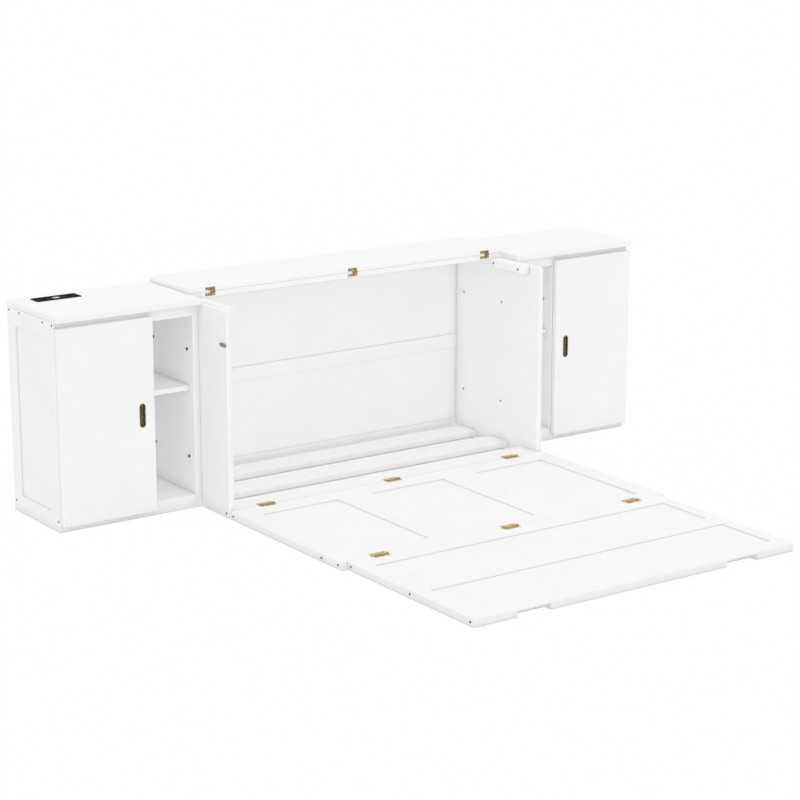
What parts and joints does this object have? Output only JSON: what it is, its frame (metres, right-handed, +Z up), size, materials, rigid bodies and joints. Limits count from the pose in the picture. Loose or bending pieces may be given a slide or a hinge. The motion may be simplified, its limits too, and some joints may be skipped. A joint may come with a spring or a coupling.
{
  "type": "wall bed",
  "caption": "White chest wall bed laid open: framed platform panels fold out of a low chest onto the floor, between side cabinets with sliding doors.",
  "frame": {"origin": "on the floor, in the middle of the open bed's footprint", "axes": "+X to the right when facing the bed's foot from the front, +Y towards the wall, +Z up"},
  "size_m": [2.598, 2, 0.803],
  "materials": {
    "white_board": "satin white paint on board",
    "antique_brass": "antiqued brass",
    "dark_screw": "dark oxide",
    "steel": "zinc plated",
    "bronze": "dark bronze",
    "black_plastic": "fine matte",
    "grey_plastic": "fine matte",
    "pale_plastic": "fine matte",
    "white_metal": "white powder coat",
    "nylon": "smooth nylon"
  },
  "bodies": {
    "carcass": {"chest_side_left": "white_board", "chest_side_right": "white_board", "chest_top": "white_board", "flap_cleats": "white_board", "chest_front_rail": "white_board", "chest_slats": "white_board", "slat_bearers": "white_board", "back_frame": "white_board", "back_panels": "white_board", "left_cabinet_top": "white_board", "right_cabinet_top": "white_board", "cabinet_side_frames": "white_board", "cabinet_side_fields": "white_board", "cabinet_inner_walls": "white_board", "cabinet_partitions": "white_board", "cabinet_shelves": "white_board", "cabinet_bottoms": "white_board", "cabinet_backs": "white_board", "cabinet_front_rails": "white_board", "base_hinge_rail_leaves": "antique_brass", "base_hinge_pins": "antique_brass", "flap_hinge_top_leaves": "antique_brass", "chest_hinge_screws": "antique_brass", "joining_bolts": "dark_screw", "board_screws": "dark_screw", "latch_pivots": "steel", "joining_nuts": "steel", "power_strip_housing": "black_plastic", "power_strip_insert": "grey_plastic", "power_strip_ports": "pale_plastic", "door_tracks": "white_metal", "door_guides": "nylon"},
    "inner_panel": {"inner_panel_stiles": "white_board", "inner_panel_rails": "white_board", "inner_panel_fields": "white_board", "base_hinge_panel_leaves": "antique_brass", "fold_hinge_inner_leaves": "antique_brass", "fold_hinge_pins": "antique_brass", "inner_panel_hinge_screws": "antique_brass", "inner_panel_screws": "dark_screw", "stile_fixings": "steel", "catch_studs": "steel"},
    "outer_panel": {"outer_panel_stiles": "white_board", "outer_panel_rails": "white_board", "outer_panel_fields": "white_board", "fold_hinge_outer_leaves": "antique_brass", "outer_panel_hinge_screws": "antique_brass", "outer_panel_screws": "dark_screw"},
    "flap": {"flap_board": "white_board", "flap_hinge_flap_leaves": "antique_brass", "flap_hinge_pins": "antique_brass", "flap_hinge_screws": "antique_brass"},
    "left_door": {"left_door": "white_board", "left_pull": "bronze", "left_hangers": "steel"},
    "right_door": {"right_door": "white_board", "right_pull": "bronze", "right_hangers": "steel"},
    "left_hook": {"left_hook": "steel"},
    "right_hook": {"right_hook": "steel"}
  },
  "joints": [
    {"name": "base_fold", "type": "hinge", "parent": "carcass", "child": "inner_panel", "pos_m": [0, 0.444, 0.0315], "axis": [-1, 0, 0], "range_deg": [0, 90]},
    {"name": "panel_fold", "type": "hinge", "parent": "inner_panel", "child": "outer_panel", "pos_m": [0, -0.2876, 0.0315], "axis": [-1, 0, 0], "range_deg": [0, 180]},
    {"name": "flap_turn", "type": "hinge", "parent": "carcass", "child": "flap", "pos_m": [0, 0.70625, 0.785], "axis": [1, 0, 0], "range_deg": [0, 180]},
    {"name": "left_door_slide", "type": "slide", "parent": "carcass", "child": "left_door", "axis": [1, 0, 0], "range_m": [0, 0.193]},
    {"name": "right_door_slide", "type": "slide", "parent": "carcass", "child": "right_door", "axis": [-1, 0, 0], "range_m": [0, 0.193]},
    {"name": "left_hook_turn", "type": "hinge", "parent": "carcass", "child": "left_hook", "pos_m": [-0.7193, 0.453, 0.6415], "axis": [1, 0, 0], "range_deg": [0, 180]},
    {"name": "right_hook_turn", "type": "hinge", "parent": "carcass", "child": "right_hook", "pos_m": [0.7193, 0.453, 0.6415], "axis": [1, 0, 0], "range_deg": [0, 180]}
  ]
}
